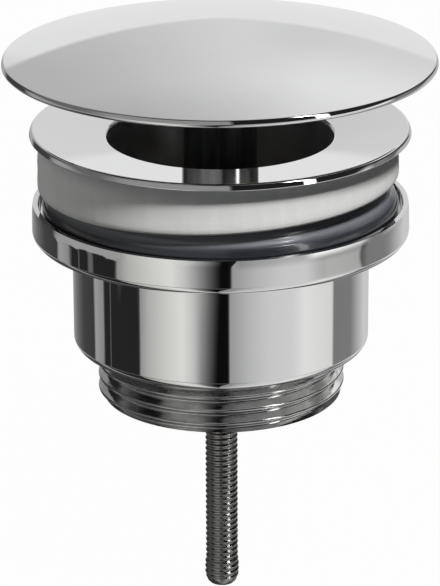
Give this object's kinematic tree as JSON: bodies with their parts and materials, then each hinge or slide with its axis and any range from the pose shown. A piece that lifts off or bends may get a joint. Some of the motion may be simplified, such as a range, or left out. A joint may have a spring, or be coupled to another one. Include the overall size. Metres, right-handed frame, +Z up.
{
  "type": "free-flow basin waste",
  "caption": "Free-flow basin waste: mushroom cap over a dished flange, foam and rubber seals, and a threaded outlet body drawn up by a central clamping screw.",
  "frame": {"origin": "on the axis, in the plane where the rim of the flange sits on the basin", "axes": "+Z up along the axis, out of the basin; -Y towards the viewer of the picture"},
  "size_m": [0.0728, 0.0728, 0.0999],
  "materials": {
    "chromed_brass": "mirror polished chrome plate on brass",
    "plain_brass": "as machined",
    "white_foam": "closed-cell foam, matte",
    "zinc_steel": "zinc-plated, dull",
    "spring_steel": "blackened",
    "black_rubber": "smooth",
    "grey_rubber": "smooth, slightly glossy"
  },
  "bodies": {
    "upper": {"upper_body": "chromed_brass", "upper_spider": "plain_brass", "foam_gasket": "white_foam", "thrust_washer": "plain_brass"},
    "screw": {"clamping_screw": "zinc_steel", "retaining_ring": "spring_steel", "head_o_ring": "black_rubber"},
    "cap": {"cap_shell": "chromed_brass", "cap_boss": "plain_brass", "cap_post": "chromed_brass"},
    "lower": {"lower_body": "chromed_brass", "lower_spider": "plain_brass", "captive_nut": "zinc_steel", "rubber_seal": "grey_rubber"}
  },
  "joints": [
    {"name": "screw_turn", "type": "hinge", "parent": "upper", "child": "screw", "pos_m": [0, 0, -0.015], "axis": [0, 0, 1], "range_deg": [0, 11880]},
    {"name": "cup_lift", "type": "slide", "parent": "upper", "child": "lower", "axis": [0, 0, 1], "range_m": [-0.033, 0]},
    {"name": "cap_pull", "type": "slide", "parent": "screw", "child": "cap", "axis": [0, 0, 1], "range_m": [0, 0.03]}
  ],
  "couplings": [
    {"joint": "cup_lift", "follows": "screw_turn", "m_per_rad": -0.00015915}
  ]
}
